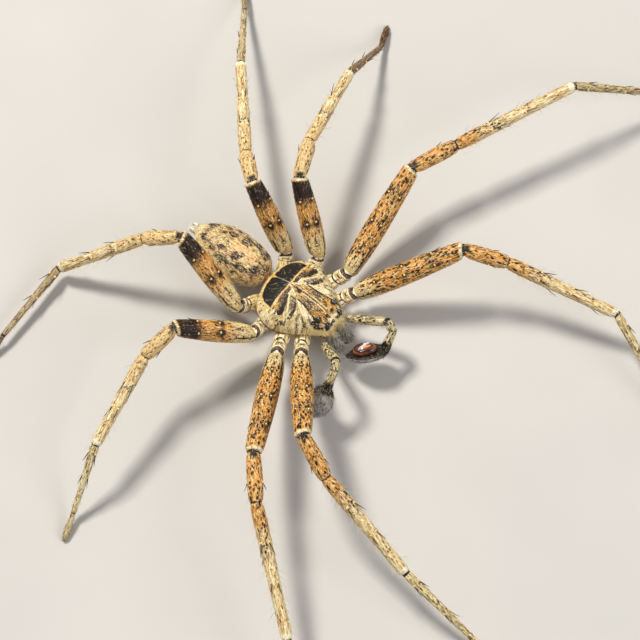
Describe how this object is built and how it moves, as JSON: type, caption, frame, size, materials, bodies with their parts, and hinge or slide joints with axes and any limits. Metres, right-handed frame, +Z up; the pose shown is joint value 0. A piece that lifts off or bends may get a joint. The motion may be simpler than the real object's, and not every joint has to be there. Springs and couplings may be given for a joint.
{
  "type": "huntsman spider",
  "caption": "Life-size still model of a male huntsman spider standing with its long banded legs spread, palps held in front of its head.",
  "frame": {"origin": "on the floor, under the middle of the whole spider", "axes": "+Z up, the head looks towards -Y, the spider's left side is +X"},
  "size_m": [0.085, 0.0666, 0.0114],
  "materials": {
    "carapace": "short cream and tan hair over dark cuticle, black saddle on the rear half",
    "abdomen": "tan and cream hair with dark brown mottling",
    "spinnerets": "pale greyish skin with short hair",
    "eyes": "glossy black lens",
    "chelicerae": "dark cuticle under grey hair, glossy dark fangs",
    "leg_bases": "pale cream hair with dark arcs",
    "femora": "orange-tan hair with black dots and dark distal patches",
    "patellae": "orange-tan hair, speckled",
    "tibiae": "cream hair with thin black lengthwise streaks",
    "feet": "olive-cream hair with dark dots, dark tips",
    "palps": "tan hair with black dots",
    "cymbium": "grey hairy lobe with a glossy orange-brown bulb"
  },
  "bodies": {
    "root": {"prosoma": "carapace", "abdomen": "abdomen", "spinnerets": "spinnerets", "eye_posterior_median_left": "eyes", "eye_posterior_lateral_left": "eyes", "eye_anterior_lateral_left": "eyes", "eye_anterior_median_left": "eyes", "chelicera_left": "chelicerae", "palp_left_femur": "palps", "palp_left_tibia": "palps", "palp_left_cymbium": "cymbium", "eye_posterior_median_right": "eyes", "eye_posterior_lateral_right": "eyes", "eye_anterior_lateral_right": "eyes", "eye_anterior_median_right": "eyes", "chelicera_right": "chelicerae", "palp_right_femur": "palps", "palp_right_tibia": "palps", "palp_right_cymbium": "cymbium", "leg_1_left_coxa": "leg_bases", "leg_1_left_femur": "femora", "leg_1_left_patella": "patellae", "leg_1_left_tibia": "tibiae", "leg_1_left_foot": "feet", "leg_1_right_coxa": "leg_bases", "leg_1_right_femur": "femora", "leg_1_right_patella": "patellae", "leg_1_right_tibia": "tibiae", "leg_1_right_foot": "feet", "leg_2_left_coxa": "leg_bases", "leg_2_left_femur": "femora", "leg_2_left_patella": "patellae", "leg_2_left_tibia": "tibiae", "leg_2_left_foot": "feet", "leg_2_right_coxa": "leg_bases", "leg_2_right_femur": "femora", "leg_2_right_patella": "patellae", "leg_2_right_tibia": "tibiae", "leg_2_right_foot": "feet", "leg_3_left_coxa": "leg_bases", "leg_3_left_femur": "femora", "leg_3_left_patella": "patellae", "leg_3_left_tibia": "tibiae", "leg_3_left_foot": "feet", "leg_3_right_coxa": "leg_bases", "leg_3_right_femur": "femora", "leg_3_right_patella": "patellae", "leg_3_right_tibia": "tibiae", "leg_3_right_foot": "feet", "leg_4_left_coxa": "leg_bases", "leg_4_left_femur": "femora", "leg_4_left_patella": "patellae", "leg_4_left_tibia": "tibiae", "leg_4_left_foot": "feet", "leg_4_right_coxa": "leg_bases", "leg_4_right_femur": "femora", "leg_4_right_patella": "patellae", "leg_4_right_tibia": "tibiae", "leg_4_right_foot": "feet"}
  },
  "joints": []
}
